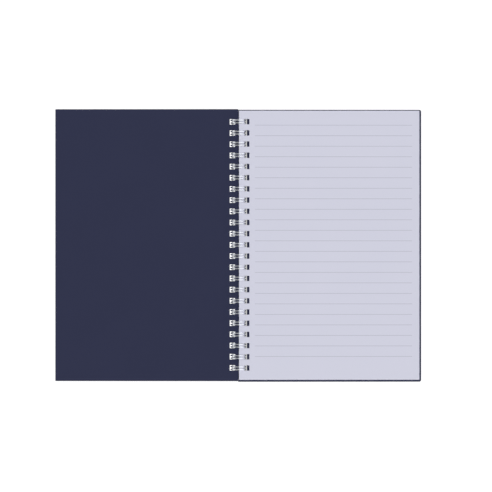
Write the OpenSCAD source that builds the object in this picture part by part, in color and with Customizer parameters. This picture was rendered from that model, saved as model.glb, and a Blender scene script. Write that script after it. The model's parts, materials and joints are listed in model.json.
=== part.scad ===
// Notebook lying open at its first leaf: two board covers and a block of leaves on one twin-loop wire.
// Millimetres, +Z up. The wire's axis runs along Y over x = 0, and the book rests on the plane z = 0.
// Covers and leaves turn about the wire's axis, so each is drawn flat in axes that start there.

/* [Covers] */
// Width of a cover, from its spine edge to its fore edge
cover_w = 138.5; // [100:0.1:180]
// Height of a cover, along the wire
cover_h = 205.9; // [120:0.1:300]
// Thickness of the board
cover_t = 1.5; // [0.8:0.1:2.4]
// Radius of the front cover's two outer corners
front_corner_r = 0.5; // [0.2:0.1:6]
// Radius of the back cover's two outer corners
back_corner_r = 1.4; // [0.2:0.1:6]
// Gap between the spine edges of the two covers as they lie open
spine_gap = 0.2; // [0.2:0.05:0.6]
// How far each cover is cut off the middle along the wire, the front one up and the back one down
cover_shift = 0.25; // [0:0.05:1]

/* [Leaves] */
// Number of leaves in the block
leaf_count = 38; // [30:1:60]
// Thickness of a leaf
leaf_t = 0.1; // [0.08:0.01:0.12]
// How far a cover stands out past the leaves at head and tail
head_overhang = 0.95; // [0.4:0.05:4]
// How far a cover stands out past the leaves at the fore edge
fore_overhang = 1.25; // [0.5:0.05:5]
// Gap between the block and the cover that it lies on
leaf_gap = 0.3; // [0.2:0.05:0.6]
// How far the block is cut off the middle along the wire
leaf_shift = 0.15; // [0:0.05:0.4]

/* [Wire] */
// Diameter of the wire
wire_d = 1.1; // [0.9:0.05:1.2]
// Distance from one loop to the next
loop_pitch = 8.467; // [8:0.001:12]
// Distance between the two strands of a loop, at their centres
strand_gap = 1.95; // [1.8:0.05:2.4]
// Angle of the loop, from its root below the spine round to its tip
loop_turn = 321; // [314:1:322]
// Angle of the bent stub that is left where the wire was cut at each end
stub_turn = 60; // [20:5:90]

/* [Punching] */
// Clearance beside a loop in its hole, along the wire
side_play = 0.55; // [0.4:0.05:0.9]
// Strip of cover between a hole and the spine edge
cover_margin = 2.35; // [1.8:0.05:2.8]
// Clearance between that strip and the wire under it
strip_rest = 0.4; // [0.25:0.05:0.6]
// Clearance between the wire and the outer side of a cover's hole
hole_play = 1.2; // [0.6:0.05:1.4]
// Strip of leaf between a hole and the spine edge
leaf_margin = 3.65; // [3:0.05:4.4]
// Clearance between the wire and the inner side of a leaf's hole
leaf_play = 0.32; // [0.3:0.01:0.8]
// Least distance from the end of a leaf to the middle of a loop
end_room = 6; // [4:0.5:12]
// How far the row of holes sits above the middle of the sheet
punch_shift = 0.45; // [0:0.05:1.5]

/* [Hidden] */
$fn = 96;
past = 1; // how far a cutter runs past the face that it cuts

// Faces of the stack, as distances from the wire's axis
block_t = leaf_count * leaf_t;
cover_in = block_t / 2 + leaf_gap;
cover_out = cover_in + cover_t;

// The loop is the smallest that clears the covers' strips on its inner side
edge_x = spine_gap / 2;
hole_x = edge_x + cover_margin;
loop_in_r = norm([hole_x, cover_out]) + strip_rest;
loop_r = loop_in_r + wire_d / 2;
loop_out_r = loop_in_r + wire_d;
axis_z = loop_out_r;

// A cover lies on the wire at its spine and on the table at its fore edge
fore_x = edge_x + cover_w;
rest_tilt = asin(axis_z / norm([fore_x, cover_out])) - atan2(cover_out, fore_x);

// Holes clear the wire where it passes through the board
hole_w = sqrt(loop_out_r ^ 2 - cover_in ^ 2) + hole_play - hole_x;
hole_h = strand_gap + wire_d + 2 * side_play;

// Each leaf hangs on the wire, so spine edge, holes and fore edge repeat the loop's arc
leaf_hole_x = -wire_d / 2 - leaf_play;
leaf_edge_x = leaf_hole_x - leaf_margin;
leaf_w = fore_x - fore_overhang - leaf_edge_x - loop_r;
leaf_h = cover_h - 2 * head_overhang;

// One loop in every hole, as many as the leaf's height takes
loops = floor((leaf_h - 2 * (end_room + punch_shift)) / loop_pitch) + 1;
loop_y = [for (i = [0 : loops - 1]) punch_shift + (i - (loops - 1) / 2) * loop_pitch];

// Radii of the flat bends that join the strands at a loop's tip and between two roots
tip_r = strand_gap / 2;
root_r = (loop_pitch - strand_gap) / 2;
root_angle = 270;
tip_angle = root_angle + loop_turn;

// Flats round the wire, and steps along a strand and its bends
wire_sides = 6;
strand_steps = 14;
tip_steps = 3;
root_steps = 4;

// Directions at an angle on the loop: away from its axis, and the way that a strand runs
function outward(angle) = [cos(angle), 0, sin(angle)];
function onward(angle) = [-sin(angle), 0, cos(angle)];

// A place on the wire is its centre, the way that the wire runs there and the way out from the loop
function strand(y, from, to) = [
    for (k = [1 : strand_steps])
        let (angle = from + (to - from) * k / strand_steps)
            [
                loop_r * outward(angle) + [0, y, 0],
                sign(to - from) * onward(angle),
                outward(angle)
            ]
];

// A bend lies flat against the loop at one angle, and bulges onward or back
function bend(angle, y, r, bulge, from, to, steps, first = 1) = [
    for (k = [first : steps])
        let (turn = from + (to - from) * k / steps)
            [
                loop_r * outward(angle) + bulge * r * sin(turn) * onward(angle) + [0, y - r * cos(turn), 0],
                bulge * cos(turn) * onward(angle) + [0, sin(turn), 0],
                outward(angle)
            ]
];

// One loop: out along a strand, round the closed tip and back along the other strand
function twin_loop(y) = concat(
    strand(y - tip_r, root_angle, tip_angle),
    bend(tip_angle, y, tip_r, 1, 0, 180, tip_steps),
    strand(y + tip_r, tip_angle, root_angle)
);

function root_bend(y, from, to, first) = bend(root_angle, y, root_r, -1, from, to, root_steps, first);

// The whole wire from stub to stub, with a bend between the roots of neighbouring loops
wire_line = concat(
    root_bend(loop_y[0] - loop_pitch / 2, 180 - stub_turn, 180, 0),
    [
        for (i = [0 : loops - 1])
            each concat(
                twin_loop(loop_y[i]),
                root_bend(loop_y[i] + loop_pitch / 2, 0, i < loops - 1 ? 180 : stub_turn, 1)
            )
    ]
);

function section_point(place, angle) =
    place[0] + wire_d / 2 * (cos(angle) * place[2] + sin(angle) * cross(place[1], place[2]));

// Puts what is drawn from the wire's axis on the right-hand side of the open book
module on_wire() {
    translate([0, 0, axis_z])
        rotate([0, rest_tilt, 0])
            children();
}

// Outline of a cover with its two outer corners rounded
module board_outline(r) {
    translate([edge_x, -cover_h / 2])
        square([cover_w - r, cover_h]);
    translate([edge_x, r - cover_h / 2])
        square([cover_w, cover_h - 2 * r]);
    for (side = [-1, 1])
        translate([fore_x - r, side * (cover_h / 2 - r)])
            circle(r);
}

module punched_board(r, shift) {
    translate([0, 0, -cover_out])
        linear_extrude(cover_t)
            difference() {
                translate([0, shift])
                    board_outline(r);
                for (y = loop_y)
                    translate([hole_x, y - hole_h / 2])
                        square([hole_w, hole_h]);
            }
}

// Section of the block, or of a slot through it: a band whose two ends are the same arc
module arc_band(x, w, t) {
    difference() {
        union() {
            translate([x, -t / 2])
                square([w, t]);
            intersection() {
                translate([x + w, 0])
                    circle(loop_r);
                translate([x + w, -t / 2])
                    square([loop_r + past, t]);
            }
        }
        translate([x, 0])
            circle(loop_r);
    }
}

module along_wire(length) {
    rotate([90, 0, 0])
        linear_extrude(length, center = true)
            children();
}

module wire_loops() {
    last = len(wire_line) - 1;
    polyhedron(
        points = [
            for (place = wire_line)
                for (k = [0 : wire_sides - 1])
                    section_point(place, 360 * k / wire_sides)
        ],
        faces = concat(
            [[for (k = [0 : wire_sides - 1]) k]],
            [
                for (i = [0 : last - 1])
                    for (k = [0 : wire_sides - 1])
                        let (here = i * wire_sides, next_k = (k + 1) % wire_sides)
                            [here + k, here + wire_sides + k, here + wire_sides + next_k, here + next_k]
            ],
            [[for (k = [0 : wire_sides - 1]) last * wire_sides + wire_sides - 1 - k]]
        )
    );
}

module front_cover() {
    color([0.2, 0.21, 0.3])
        mirror([1, 0, 0])
            on_wire()
                punched_board(front_corner_r, cover_shift);
}

module back_cover() {
    color([0.17, 0.18, 0.26])
        on_wire()
            punched_board(back_corner_r, -cover_shift);
}

module leaf_block() {
    color([0.81, 0.81, 0.87])
        on_wire()
            difference() {
                translate([0, leaf_shift, 0])
                    along_wire(leaf_h)
                        arc_band(leaf_edge_x, leaf_w, block_t);
                for (y = loop_y)
                    translate([0, y, 0])
                        along_wire(hole_h)
                            arc_band(leaf_hole_x, hole_w, block_t + 2 * past);
            }
}

module wire_binding() {
    color("silver")
        translate([0, 0, axis_z])
            wire_loops();
}

front_cover();
back_cover();
leaf_block();
wire_binding();
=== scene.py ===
import bpy
import json
import math
import random
from mathutils import Matrix, Vector


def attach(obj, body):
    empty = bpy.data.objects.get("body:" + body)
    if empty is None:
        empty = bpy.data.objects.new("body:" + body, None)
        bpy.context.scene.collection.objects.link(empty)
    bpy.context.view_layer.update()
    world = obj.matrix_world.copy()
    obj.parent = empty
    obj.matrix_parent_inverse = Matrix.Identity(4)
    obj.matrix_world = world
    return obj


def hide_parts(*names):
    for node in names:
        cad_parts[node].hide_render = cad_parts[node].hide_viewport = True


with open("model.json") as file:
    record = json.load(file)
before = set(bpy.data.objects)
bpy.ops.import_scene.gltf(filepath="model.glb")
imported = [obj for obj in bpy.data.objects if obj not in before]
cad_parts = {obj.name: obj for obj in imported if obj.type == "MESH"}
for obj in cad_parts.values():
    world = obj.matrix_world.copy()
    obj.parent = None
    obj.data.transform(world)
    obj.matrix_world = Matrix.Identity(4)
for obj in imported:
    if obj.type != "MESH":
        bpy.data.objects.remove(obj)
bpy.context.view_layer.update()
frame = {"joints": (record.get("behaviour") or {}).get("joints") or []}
mm = 0.001
dice = random.Random(11)

# what the covers, the leaves and the wire share; the wire's axis and the book's lean come from the frame
coverTurn = next(j for j in frame["joints"] if j["name"] == "front_cover_turn")
binding = {
    "axisZ": coverTurn["pos_m"][2],
    "lean": math.radians(coverTurn["range_deg"][1] - 180) / 2,
    "wireWidth": 1.1 * mm,
    "loops": 23,
    "pitch": 8.467 * mm,
    "strandGap": 1.95 * mm,
    "rowShift": 0.45 * mm,  # the row of holes sits this far above the middle
    "holeLength": 4.15 * mm,
    "holeWidth": 4.265 * mm,
    "offCentre": {"front": 0.25 * mm, "back": -0.25 * mm, "leaves": 0.15 * mm},  # middle of a sheet, on Y
}
loopRadius = binding["axisZ"] - binding["wireWidth"] / 2
middleLoop = (binding["loops"] - 1) / 2
loopY = [binding["rowShift"] + (i - middleLoop) * binding["pitch"] for i in range(binding["loops"])]
print("frame: axis", round(binding["axisZ"] / mm, 3), "mm up, lean",
      round(math.degrees(binding["lean"]), 3), "degrees")


# helpers for pieces
def addMesh(name, points, faces, smooth=False):
    mesh = bpy.data.meshes.new(name)
    mesh.from_pydata(points, [], faces)
    mesh.validate()
    mesh.update()
    mesh.polygons.foreach_set("use_smooth", [smooth] * len(mesh.polygons))
    piece = bpy.data.objects.new(name, mesh)
    bpy.context.scene.collection.objects.link(piece)
    return piece


# covers, leaves and ruling are drawn flat, from the wire's axis: side 1 lies to the right, -1 to the left
def hangOnWire(piece, side, body):
    turn = Matrix.Rotation(side * binding["lean"], 4, "Y")
    piece.matrix_world = Matrix.Translation((0, binding["offCentre"][body], binding["axisZ"])) @ turn
    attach(piece, body)


# helpers for nodes
def addNode(tree, kind, **values):
    node = tree.nodes.new(kind)
    for key, value in values.items():
        setattr(node, key, value)
    return node


# what goes onto a socket is another node's output or a plain value
def plug(tree, source, target):
    if isinstance(source, bpy.types.NodeSocket):
        tree.links.new(source, target)
    else:
        target.default_value = source


def addMath(tree, operation, *values, clamp=False):
    node = addNode(tree, "ShaderNodeMath", operation=operation, use_clamp=clamp)
    for value, socket in zip(values, node.inputs):
        plug(tree, value, socket)
    return node.outputs[0]


def addMix(tree, factor, first, second):
    node = addNode(tree, "ShaderNodeMix", data_type="RGBA")
    plug(tree, factor, node.inputs[0])
    for colour, socket in ((first, node.inputs[6]), (second, node.inputs[7])):  # its A and B for colours
        plug(tree, (*colour, 1) if isinstance(colour, tuple) else colour, socket)
    return node.outputs[2]


def addNoise(tree, place, scale, detail, roughness=0.5):
    noise = addNode(tree, "ShaderNodeTexNoise")
    for label, value in (("Vector", place), ("Scale", scale), ("Detail", detail), ("Roughness", roughness)):
        plug(tree, value, noise.inputs[label])
    return noise.outputs["Fac"]


def addGroup(tree, group, values):
    node = addNode(tree, "ShaderNodeGroup", node_tree=group)
    for label, value in values.items():
        plug(tree, value, node.inputs[label])
    return node


def startGroup(name, inputs, outputs):
    group = bpy.data.node_groups.new(name, "ShaderNodeTree")
    for label, kind in inputs.items():
        group.interface.new_socket(label, in_out="INPUT", socket_type=kind)
    for label, kind in outputs.items():
        group.interface.new_socket(label, in_out="OUTPUT", socket_type=kind)
    return group, group.nodes.new("NodeGroupInput"), group.nodes.new("NodeGroupOutput")


def startMaterial(name, look):
    material = bpy.data.materials.new(name)
    material.use_nodes = True
    tree = material.node_tree
    shader = tree.nodes["Principled BSDF"]
    for label, value in look.items():
        shader.inputs[label].default_value = value
    place = addNode(tree, "ShaderNodeTexCoord").outputs["Object"]
    return material, tree, shader, place


# fine tooth and cloudy tone, which every material of the book uses; a larger noise scale is finer
tooth = {
    "stretch": (1.0, 0.35, 1.0),  # fibres lie along the grain
    "fibreDetail": 4,
    "fibreRoughness": 0.65,
    "gritFiner": 2.7,  # how many times finer than the fibres the grit is
    "gritDetail": 2,
    "gritShare": 0.3,  # of the tooth's height, and the fibres give the rest
    "cloudDetail": 3,
}


def buildFibreTooth():
    group, given, out = startGroup(
        "fibreTooth",
        {"Place": "NodeSocketVector", "Fibre Scale": "NodeSocketFloat", "Cloud Scale": "NodeSocketFloat"},
        {"Height": "NodeSocketFloat", "Cloud": "NodeSocketFloat"})
    place, fibreScale = given.outputs["Place"], given.outputs["Fibre Scale"]
    stretch = addNode(group, "ShaderNodeVectorMath", operation="MULTIPLY")
    plug(group, place, stretch.inputs[0])
    plug(group, tooth["stretch"], stretch.inputs[1])
    fibre = addNoise(group, stretch.outputs[0], fibreScale, tooth["fibreDetail"], tooth["fibreRoughness"])
    gritScale = addMath(group, "MULTIPLY", fibreScale, tooth["gritFiner"])
    grit = addNoise(group, place, gritScale, tooth["gritDetail"])
    gritHeight = addMath(group, "MULTIPLY", grit, tooth["gritShare"])
    height = addMath(group, "MULTIPLY_ADD", fibre, 1 - tooth["gritShare"], gritHeight)
    cloud = addNoise(group, place, given.outputs["Cloud Scale"], tooth["cloudDetail"])
    plug(group, height, out.inputs["Height"])
    plug(group, cloud, out.inputs["Cloud"])
    return group


fibreTooth = buildFibreTooth()


def addTooth(tree, shader, place, scales, depth):
    fibre, cloud = scales
    grain = addGroup(tree, fibreTooth, {"Place": place, "Fibre Scale": fibre, "Cloud Scale": cloud})
    bump = addNode(tree, "ShaderNodeBump")
    plug(tree, depth, bump.inputs["Distance"])
    plug(tree, grain.outputs["Height"], bump.inputs["Height"])
    plug(tree, bump.outputs["Normal"], shader.inputs["Normal"])
    return grain


# covers: a punched board with a softly rounded rim
cover = {
    "spineEdge": 0.1 * mm,  # this and the next are distances from the wire's axis, as are the holes' starts
    "foreEdge": 138.6 * mm,
    "height": 205.9 * mm,
    "inner": 2.2 * mm,  # how far its inner face is from the plane of the wire's axis
    "thickness": 1.5 * mm,
    "holeStart": {"front": 2.15 * mm, "back": 2.45 * mm},  # the front cover is punched nearer its edge
    "corner": {"front": 0.5 * mm, "back": 1.4 * mm},
    "cornerSteps": 8,
    "rimRound": 0.06 * mm,
    "rimSteps": 3,
    "sharpFrom": math.radians(40),  # edges that turn more than this look sharp
}
coverPaper = {
    "navy": (0.0300, 0.0336, 0.0686),
    "navyDeep": (0.0274, 0.0308, 0.0628),
    "look": {"Roughness": 0.62, "Specular IOR Level": 0.1},
    "toothScales": (1500.0, 28.0),
    "toothDepth": 0.012 * mm,
    "rubbed": (0.060, 0.065, 0.105),
    "rub": 0.3,  # how much of the rubbed tone the rim takes
    "rubWidth": 0.5 * mm,
    "rubPatch": 260,  # noise scale of the rubbed patches
    "rubDetail": 5,
    "rubFrom": 0.42,  # noise above this shows as rubbed
    "rubSteep": 4.0,  # and this is how fast it sets in
}


# rubbed rim of a board: 1 at its outer edges and 0 inside, broken up by noise
def buildRimRub():
    group, given, out = startGroup(
        "rimRub",
        {"Place": "NodeSocketVector", "Reach": "NodeSocketFloat",
         "Half Height": "NodeSocketFloat", "Width": "NodeSocketFloat"},
        {"Rub": "NodeSocketFloat"})
    split = addNode(group, "ShaderNodeSeparateXYZ")
    plug(group, given.outputs["Place"], split.inputs[0])
    across, along = (addMath(group, "ABSOLUTE", split.outputs[i]) for i in (0, 1))
    toFore = addMath(group, "SUBTRACT", given.outputs["Reach"], across)
    toHead = addMath(group, "SUBTRACT", given.outputs["Half Height"], along)
    inside = addMath(group, "DIVIDE", addMath(group, "MINIMUM", toFore, toHead), given.outputs["Width"])
    rim = addMath(group, "SUBTRACT", 1.0, inside, clamp=True)
    patch = addNoise(group, given.outputs["Place"], coverPaper["rubPatch"], coverPaper["rubDetail"])
    above = addMath(group, "SUBTRACT", patch, coverPaper["rubFrom"], clamp=True)
    broken = addMath(group, "MULTIPLY", above, coverPaper["rubSteep"], clamp=True)
    plug(group, addMath(group, "MULTIPLY", rim, broken), out.inputs["Rub"])
    return group


def buildCoverPaper():
    material, tree, shader, place = startMaterial("navyCoverPaper", coverPaper["look"])
    grain = addTooth(tree, shader, place, coverPaper["toothScales"], coverPaper["toothDepth"])
    tone = addMix(tree, grain.outputs["Cloud"], coverPaper["navyDeep"], coverPaper["navy"])
    size = {"Reach": cover["foreEdge"], "Half Height": cover["height"] / 2, "Width": coverPaper["rubWidth"]}
    rub = addGroup(tree, buildRimRub(), {"Place": place, **size})
    worn = addMath(tree, "MULTIPLY", rub.outputs["Rub"], coverPaper["rub"])
    plug(tree, addMix(tree, worn, tone, coverPaper["rubbed"]), shader.inputs["Base Color"])
    return material


def boardOutline(side, corner):
    half = cover["height"] / 2
    points = [(cover["spineEdge"], -half)]
    for start, cy in ((-90, -half + corner), (0, half - corner)):
        for k in range(cover["cornerSteps"] + 1):
            angle = math.radians(start + 90 * k / cover["cornerSteps"])
            cx = cover["foreEdge"] - corner
            points.append((cx + corner * math.cos(angle), cy + corner * math.sin(angle)))
    points.append((cover["spineEdge"], half))
    return [(side * x, y) for x, y in points]


def holeOutline(side, near, y):
    far = near + binding["holeWidth"]
    half = binding["holeLength"] / 2
    return [(side * x, y + dy) for x, dy in ((near, -half), (far, -half), (far, half), (near, half))]


def addSpline(curve, points):
    spline = curve.splines.new("POLY")
    spline.points.add(len(points) - 1)
    for point, (x, y) in zip(spline.points, points):
        point.co = (x, y, 0, 1)
    spline.use_cyclic_u = True


def drawBoard(name, side, body):
    curve = bpy.data.curves.new(name + "Outline", "CURVE")
    curve.dimensions = "2D"
    curve.fill_mode = "BOTH"
    curve.extrude = cover["thickness"] / 2 - cover["rimRound"]
    curve.bevel_depth = cover["rimRound"]
    curve.bevel_resolution = cover["rimSteps"]
    curve.offset = -cover["rimRound"]
    addSpline(curve, boardOutline(side, cover["corner"][body]))
    for y in loopY:
        addSpline(curve, holeOutline(side, cover["holeStart"][body], y - binding["offCentre"][body]))
    return bpy.data.objects.new(name + "Outline", curve)


def buildBoard(name, side, body, node):
    drawn = drawBoard(name, side, body)
    bpy.context.scene.collection.objects.link(drawn)
    evaluated = drawn.evaluated_get(bpy.context.evaluated_depsgraph_get())
    mesh = bpy.data.meshes.new_from_object(evaluated)
    bpy.data.objects.remove(drawn)
    mesh.name = name
    mesh.transform(Matrix.Translation((0, 0, -cover["inner"] - cover["thickness"] / 2)))
    mesh.materials.append(navyPaper)
    mesh.polygons.foreach_set("use_smooth", [True] * len(mesh.polygons))
    mesh.set_sharp_from_angle(angle=cover["sharpFrom"])
    board = bpy.data.objects.new(name, mesh)
    bpy.context.scene.collection.objects.link(board)
    hangOnWire(board, side, body)
    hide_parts(node)


navyPaper = buildCoverPaper()
buildBoard("frontBoard", -1, "front", "front_cover")
buildBoard("backBoard", 1, "back", "back_cover")
print("covers done")


# leaves: thin punched sheets, each shifted to where its holes hang on the wire
leaves = {
    "count": 38,
    "pitch": 0.1 * mm,
    "thickness": 0.086 * mm,  # a little less than the pitch, so that the sheets lie apart
    "holeInset": 0.87 * mm,  # inner side of a hole, from the wire's centre line
    "margin": 3.55 * mm,  # from that side to the spine edge
    "width": 136.132 * mm,
    "height": 203.5 * mm,
    "jog": (0.07 * mm, 0.06 * mm),  # how unevenly the sheets were knocked up, in X and Y
}
leafPaper = {
    "sheet": (0.620, 0.622, 0.722),
    "sheetCool": (0.604, 0.610, 0.712),
    "look": {"Roughness": 0.88, "Specular IOR Level": 0.2},
    "toothScales": (1100.0, 22.0),
    "toothDepth": 0.010 * mm,
}


def buildLeafPaper():
    material, tree, shader, place = startMaterial("leafPaper", leafPaper["look"])
    grain = addTooth(tree, shader, place, leafPaper["toothScales"], leafPaper["toothDepth"])
    tone = addMix(tree, grain.outputs["Cloud"], leafPaper["sheetCool"], leafPaper["sheet"])
    plug(tree, tone, shader.inputs["Base Color"])
    return material


# X of a sheet's spine edge, of its holes' two sides and of its fore edge, at its height in the block
def leafColumns(z):
    onWire = math.sqrt(loopRadius ** 2 - z ** 2)
    hole = onWire - leaves["holeInset"]
    edge = hole - leaves["margin"]
    return [edge, hole, hole + binding["holeWidth"], edge + leaves["width"]]


# a sheet is a grid of cells without its holes: upper and lower faces, and walls round every edge
def addLeaf(points, faces, z, jog):
    half = leaves["height"] / 2
    holeEnds = (-binding["holeLength"] / 2, binding["holeLength"] / 2)
    cuts = [y - binding["offCentre"]["leaves"] + end for y in loopY for end in holeEnds]
    columns = [x + jog[0] for x in leafColumns(z)]
    rows = [y + jog[1] for y in [-half, *cuts, half]]
    base = len(points)
    wide, tall = len(columns), len(rows)
    for level in (z, z + leaves["thickness"]):
        points.extend((x, y, level) for y in rows for x in columns)
    upper = wide * tall

    def solid(i, j):
        inside = 0 <= i < wide - 1 and 0 <= j < tall - 1
        return inside and not (i == 1 and j % 2 == 1)

    for j in range(tall - 1):
        for i in range(wide - 1):
            if not solid(i, j):
                continue
            a = base + j * wide + i
            b, c, d = a + 1, a + wide + 1, a + wide
            faces.append((a + upper, b + upper, c + upper, d + upper))
            faces.append((d, c, b, a))
            if not solid(i, j - 1):
                faces.append((a, b, b + upper, a + upper))
            if not solid(i, j + 1):
                faces.append((c, d, d + upper, c + upper))
            if not solid(i - 1, j):
                faces.append((d, a, a + upper, d + upper))
            if not solid(i + 1, j):
                faces.append((b, c, c + upper, b + upper))


# the first sheet and the last lie true
def jogOf(k):
    if k in (0, leaves["count"] - 1):
        return 0, 0
    return dice.uniform(-1, 1) * leaves["jog"][0], dice.uniform(-1, 1) * leaves["jog"][1]


def buildLeaves():
    points, faces = [], []
    lowest = -leaves["count"] * leaves["pitch"] / 2
    for k in range(leaves["count"]):
        addLeaf(points, faces, lowest + k * leaves["pitch"], jogOf(k))
    stack = addMesh("leafStack", points, faces)
    stack.data.materials.append(buildLeafPaper())
    hangOnWire(stack, 1, "leaves")
    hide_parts("leaf_block")


buildLeaves()
print("leaves done")


# ruling: thin strips of ink on the first page and on the last
ruling = {
    "lines": 23,
    "spacing": 7.948 * mm,
    "firstLine": 90.79 * mm,  # above the middle of the sheet
    "start": 12.0 * mm,  # this and the next are distances from the spine edge
    "end": 130.87 * mm,
    "lineWidth": 0.35 * mm,
    "lift": 0.004 * mm,  # the ink's distance from the page
    "ink": 0.004 * mm,  # its thickness
}
ruleInk = {
    "dark": (0.40, 0.40, 0.48),
    "light": (0.47, 0.47, 0.56),
    "look": {"Roughness": 0.8, "Specular IOR Level": 0.2},
    "toothScales": (2500.0, 22.0),
    "toothDepth": 0.010 * mm,
}
# corners of a strip's six faces, the lower four counted first
boxFaces = ((3, 2, 1, 0), (4, 5, 6, 7), (0, 1, 5, 4), (1, 2, 6, 5), (2, 3, 7, 6), (3, 0, 4, 7))


def buildRuleInk():
    material, tree, shader, place = startMaterial("ruleInk", ruleInk["look"])
    grain = addTooth(tree, shader, place, ruleInk["toothScales"], ruleInk["toothDepth"])
    tone = addMix(tree, grain.outputs["Height"], ruleInk["dark"], ruleInk["light"])
    plug(tree, tone, shader.inputs["Base Color"])
    return material


def buildRuling(name, level, faceUp):
    points, faces = [], []
    edge = leafColumns(level)[0]
    start, end, half = edge + ruling["start"], edge + ruling["end"], ruling["lineWidth"] / 2
    if faceUp:
        low, high = level + ruling["lift"], level + ruling["lift"] + ruling["ink"]
    else:
        low, high = level - ruling["lift"] - ruling["ink"], level - ruling["lift"]
    for k in range(ruling["lines"]):
        y = ruling["firstLine"] - k * ruling["spacing"]
        base = len(points)
        for z in (low, high):
            points += [(start, y - half, z), (end, y - half, z), (end, y + half, z), (start, y + half, z)]
        faces += [tuple(base + i for i in face) for face in boxFaces]
    lines = addMesh(name, points, faces)
    lines.data.materials.append(greyInk)
    hangOnWire(lines, 1, "leaves")


greyInk = buildRuleInk()
halfBlock = leaves["count"] * leaves["pitch"] / 2
buildRuling("firstPageRuling", halfBlock - leaves["pitch"] + leaves["thickness"], True)
buildRuling("lastPageRuling", -halfBlock, False)
print("ruling done")


# the wire: one round wire swept along its loops, closed tips and root bends
wireSweep = {
    "root": 270,  # where a loop's strands start, in degrees round the wire's axis
    "tip": 591,  # and where they meet again
    "stub": 60,  # how much of a bend is left at the cut ends
    "sides": 14,
    "strandSteps": 52,
    "bendSteps": 12,
    "sharpFrom": math.radians(50),
}
platedWire = {
    "bright": (0.92, 0.94, 0.99),
    "dull": (0.84, 0.865, 0.93),
    "look": {"Metallic": 1.0},
    "roughness": (0.14, 0.34),  # at its smoothest and at its roughest
    "toothScales": (3200.0, 120.0),  # drawn lines and patches
    "toothDepth": 0.003 * mm,
}


def buildPlatedWire():
    material, tree, shader, place = startMaterial("platedWire", platedWire["look"])
    grain = addTooth(tree, shader, place, platedWire["toothScales"], platedWire["toothDepth"])
    cloud = grain.outputs["Cloud"]
    plug(tree, addMix(tree, cloud, platedWire["dull"], platedWire["bright"]), shader.inputs["Base Color"])
    smoothest, roughest = platedWire["roughness"]
    rough = addMath(tree, "MULTIPLY_ADD", cloud, roughest - smoothest, smoothest)
    plug(tree, rough, shader.inputs["Roughness"])
    return material


# the way out from the loop and the way onward along it, at an angle in degrees
def onLoop(angle):
    turn = math.radians(angle)
    outward = Vector((math.cos(turn), 0, math.sin(turn)))
    onward = Vector((-math.sin(turn), 0, math.cos(turn)))
    return outward, onward


# a place on the wire is its middle, the way that it runs there and the way out from the loop
def strandPath(y, start, end):
    places = []
    for k in range(1, wireSweep["strandSteps"] + 1):
        outward, onward = onLoop(start + (end - start) * k / wireSweep["strandSteps"])
        middle = loopRadius * outward + Vector((0, y, 0))
        places.append((middle, math.copysign(1, end - start) * onward, outward))
    return places


# a bend lies flat against the loop at one angle, and bulges onward or back
def bendPath(angle, y, radius, bulge, start, end, first=1):
    places = []
    outward, onward = onLoop(angle)
    for k in range(first, wireSweep["bendSteps"] + 1):
        turn = math.radians(start + (end - start) * k / wireSweep["bendSteps"])
        across = Vector((0, y - radius * math.cos(turn), 0))
        middle = loopRadius * outward + bulge * radius * math.sin(turn) * onward + across
        along = bulge * math.cos(turn) * onward + Vector((0, math.sin(turn), 0))
        places.append((middle, along, outward))
    return places


def wirePath():
    tipRadius = binding["strandGap"] / 2
    rootRadius = (binding["pitch"] - binding["strandGap"]) / 2
    root, tip, stub = wireSweep["root"], wireSweep["tip"], wireSweep["stub"]
    places = bendPath(root, loopY[0] - binding["pitch"] / 2, rootRadius, -1, 180 - stub, 180, 0)
    for y in loopY:
        places += strandPath(y - tipRadius, root, tip)
        places += bendPath(tip, y, tipRadius, 1, 0, 180)
        places += strandPath(y + tipRadius, tip, root)
        last = stub if y == loopY[-1] else 180
        places += bendPath(root, y + binding["pitch"] / 2, rootRadius, -1, 0, last)
    return places


def buildWire():
    points, faces = [], []
    sides = wireSweep["sides"]
    places = wirePath()
    for middle, along, outward in places:
        across = along.cross(outward)
        for k in range(sides):
            turn = 2 * math.pi * k / sides
            away = math.cos(turn) * outward + math.sin(turn) * across
            points.append(middle + binding["wireWidth"] / 2 * away)
    for i in range(len(places) - 1):
        for k in range(sides):
            here, beside = i * sides + k, i * sides + (k + 1) % sides
            faces.append((here, beside, beside + sides, here + sides))
    end = (len(places) - 1) * sides
    faces.append(tuple(reversed(range(sides))))
    faces.append(tuple(end + k for k in range(sides)))
    wire = addMesh("twinLoopWire", points, faces, smooth=True)
    wire.data.set_sharp_from_angle(angle=wireSweep["sharpFrom"])
    wire.data.materials.append(buildPlatedWire())
    wire.location = (0, 0, binding["axisZ"])
    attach(wire, "back")
    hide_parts("wire_binding")


buildWire()
print("wire done")


# floor: it looks white in the open, and painted shade gives it less light where it shows through the
# leaves' holes
# painted light brightens it beneath the front cover's holes, and a painted shadow marks it beneath the wire
paleFloor = {
    "size": 12.0,  # in metres
    "tone": 0.80,
    "glow": 0.3,
    "holeGlow": 0.45,  # painted light, added beneath the front cover's holes, which show white
    "holesLit": (-6.5 * mm, -0.6 * mm),  # where that is, in X
    "wireShade": (-4.9 * mm, -3.4 * mm),  # painted shadow of the wire: no glow here, where the wire stands over it
    "underBook": -0.6 * mm,  # from here on the back cover's painted shade lies on it
    "edgeInset": 2 * mm,  # and as far as this from the cover's other edges
    "shadeReach": (0.5 * mm, 7.0 * mm),  # painted shade: black up to the first, lighter up to the second
    "shadeTone": 0.75,  # and from there on this share of its light is left
}


# 1 for what is seen, straight or mirrored, and 0 for light: the glow lights nothing
def seenOrMirrored(tree):
    path = addNode(tree, "ShaderNodeLightPath")
    eye = addMath(tree, "MAXIMUM", path.outputs["Is Camera Ray"], path.outputs["Is Glossy Ray"])
    return addMath(tree, "MAXIMUM", eye, path.outputs["Is Transmission Ray"])


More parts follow.
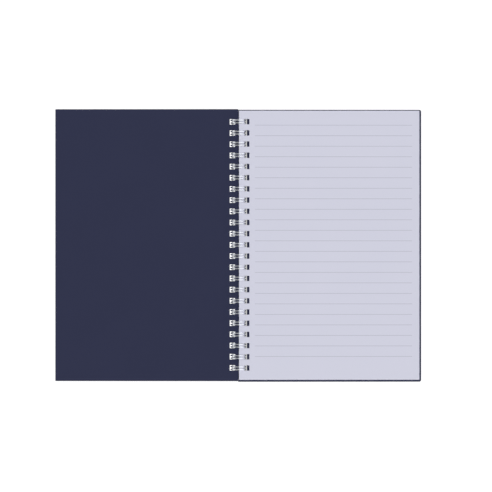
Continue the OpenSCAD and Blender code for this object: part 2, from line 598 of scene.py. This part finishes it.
# 1 on the floor between two places in X and within half a length of the middle in Y, 0 elsewhere
def floorStrip(tree, place, start, end, half):
    right = addMath(tree, "GREATER_THAN", place.outputs[0], start)
    left = addMath(tree, "LESS_THAN", place.outputs[0], end)
    within = addMath(tree, "LESS_THAN", addMath(tree, "ABSOLUTE", place.outputs[1]), half)
    return addMath(tree, "MULTIPLY", addMath(tree, "MULTIPLY", right, left), within)


# painted shade on the floor, as the share of its light that is left: 1 in the open, less beneath the back
# cover
def paintedLightShare(tree, place):
    end = cover["foreEdge"] - paleFloor["edgeInset"]
    half = cover["height"] / 2 - paleFloor["edgeInset"]
    covered = floorStrip(tree, place, paleFloor["underBook"], end, half)
    seep = addNode(tree, "ShaderNodeMapRange")
    values = (place.outputs[0], *paleFloor["shadeReach"], paleFloor["shadeTone"])
    for label, value in zip(("Value", "From Min", "From Max", "To Max"), values):
        plug(tree, value, seep.inputs[label])
    shade = addMath(tree, "MULTIPLY", covered, addMath(tree, "SUBTRACT", 1.0, seep.outputs[0]))
    return addMath(tree, "SUBTRACT", 1.0, shade)


# strength of the floor's glow: more beneath the front cover's holes, as painted light,
# and none beneath the wire there, as a painted shadow
def glowStrength(tree, place):
    halfRow = binding["loops"] / 2 * binding["pitch"]
    lit = floorStrip(tree, place, *paleFloor["holesLit"], halfRow)
    shaded = floorStrip(tree, place, *paleFloor["wireShade"], halfRow)
    strength = addMath(tree, "MULTIPLY_ADD", lit, paleFloor["holeGlow"], paleFloor["glow"])
    return addMath(tree, "MULTIPLY", strength, addMath(tree, "SUBTRACT", 1.0, shaded))


def buildFloorMaterial():
    material = bpy.data.materials.new("paleFloor")
    material.use_nodes = True
    tree = material.node_tree
    tree.nodes.remove(tree.nodes["Principled BSDF"])
    place = addNode(tree, "ShaderNodeSeparateXYZ")
    plug(tree, addNode(tree, "ShaderNodeTexCoord").outputs["Object"], place.inputs[0])
    # painted shade: this share darkens both the floor's colour and its glow
    paintedShare = paintedLightShare(tree, place)
    matt = addNode(tree, "ShaderNodeBsdfDiffuse")
    plug(tree, addMath(tree, "MULTIPLY", paintedShare, paleFloor["tone"]), matt.inputs["Color"])
    glow = addNode(tree, "ShaderNodeEmission")
    seen = addMath(tree, "MULTIPLY", seenOrMirrored(tree), glowStrength(tree, place))
    plug(tree, addMath(tree, "MULTIPLY", seen, paintedShare), glow.inputs["Strength"])
    both = addNode(tree, "ShaderNodeAddShader")
    plug(tree, matt.outputs[0], both.inputs[0])
    plug(tree, glow.outputs[0], both.inputs[1])
    plug(tree, both.outputs[0], tree.nodes["Material Output"].inputs["Surface"])
    return material


def buildFloor():
    half = paleFloor["size"] / 2
    corners = [(-half, -half, 0), (half, -half, 0), (half, half, 0), (-half, half, 0)]
    floor = addMesh("floor", corners, [(0, 1, 2, 3)])
    floor.data.materials.append(buildFloorMaterial())


# room: white to the camera and weaker as a light; the wire mirrors it with one dark curtain
room = {
    "light": 0.31,
    "mirrored": 1.05,
    "curtainTone": 0.26,
    "curtainLeft": (-0.80, -0.62),  # how far its edges lean right of straight up, as sines
    "curtainRight": (0.06, 0.28),
}


# how bright the room looks in the wire, by how far right a mirrored ray leans
def buildMirroredRoom(tree):
    split = addNode(tree, "ShaderNodeSeparateXYZ")
    plug(tree, addNode(tree, "ShaderNodeTexCoord").outputs["Generated"], split.inputs[0])
    edges = []
    for start, end in (room["curtainLeft"], room["curtainRight"]):
        edge = addNode(tree, "ShaderNodeMapRange", interpolation_type="SMOOTHSTEP")
        for label, value in (("Value", split.outputs[0]), ("From Min", start), ("From Max", end)):
            plug(tree, value, edge.inputs[label])
        edges.append(edge.outputs[0])
    curtain = addMath(tree, "SUBTRACT", *edges)
    dimmed = addMath(tree, "MULTIPLY", curtain, room["mirrored"] - room["curtainTone"])
    return addMath(tree, "SUBTRACT", room["mirrored"], dimmed)


def buildRoom():
    world = bpy.data.worlds.new("softStudio")
    bpy.context.scene.world = world
    world.use_nodes = True
    tree = world.node_tree
    path = addNode(tree, "ShaderNodeLightPath")
    seen = addMath(tree, "MULTIPLY", path.outputs["Is Camera Ray"], 1 - room["light"])
    glint = addMath(tree, "SUBTRACT", buildMirroredRoom(tree), room["light"])
    mirrored = addMath(tree, "MULTIPLY", path.outputs["Is Glossy Ray"], glint)
    lit = addMath(tree, "ADD", addMath(tree, "ADD", seen, mirrored), room["light"])
    sky = tree.nodes["Background"]
    plug(tree, (1, 1, 1, 1), sky.inputs["Color"])
    plug(tree, lit, sky.inputs["Strength"])


keyLamp = {
    "strength": 2.27,
    "angle": math.radians(6),  # soft enough to blur the shadows' edges
    "from": (0.05, 0.06, 3.3),  # it shines towards the book from here
}


def buildKeyLamp():
    lamp = bpy.data.lights.new("key", "SUN")
    lamp.angle = keyLamp["angle"]
    lamp.energy = keyLamp["strength"]
    key = bpy.data.objects.new("key", lamp)
    key.rotation_euler = (-Vector(keyLamp["from"])).to_track_quat("-Z", "Y").to_euler()
    key.visible_glossy = False  # the wire mirrors the room, not the lamp
    bpy.context.scene.collection.objects.link(key)


# camera: straight above with a long lens
view = {
    "height": 3.0,  # in metres
    "place": (5.9 * mm, -0.42 * mm),
    "frameWidth": 372.9 * mm,  # what the picture takes in, on the floor
    "sensor": 36.0,
    "clip": (0.05, 50),
}


def buildCamera():
    lens = bpy.data.cameras.new("camera")
    lens.sensor_width = view["sensor"]
    lens.lens = view["sensor"] * view["height"] / view["frameWidth"]
    lens.clip_start, lens.clip_end = view["clip"]
    camera = bpy.data.objects.new("camera", lens)
    camera.location = (*view["place"], view["height"])
    bpy.context.scene.collection.objects.link(camera)
    bpy.context.scene.camera = camera


buildFloor()
buildRoom()
buildKeyLamp()
buildCamera()
bpy.context.scene.view_settings.view_transform = "Standard"
print("studio done")
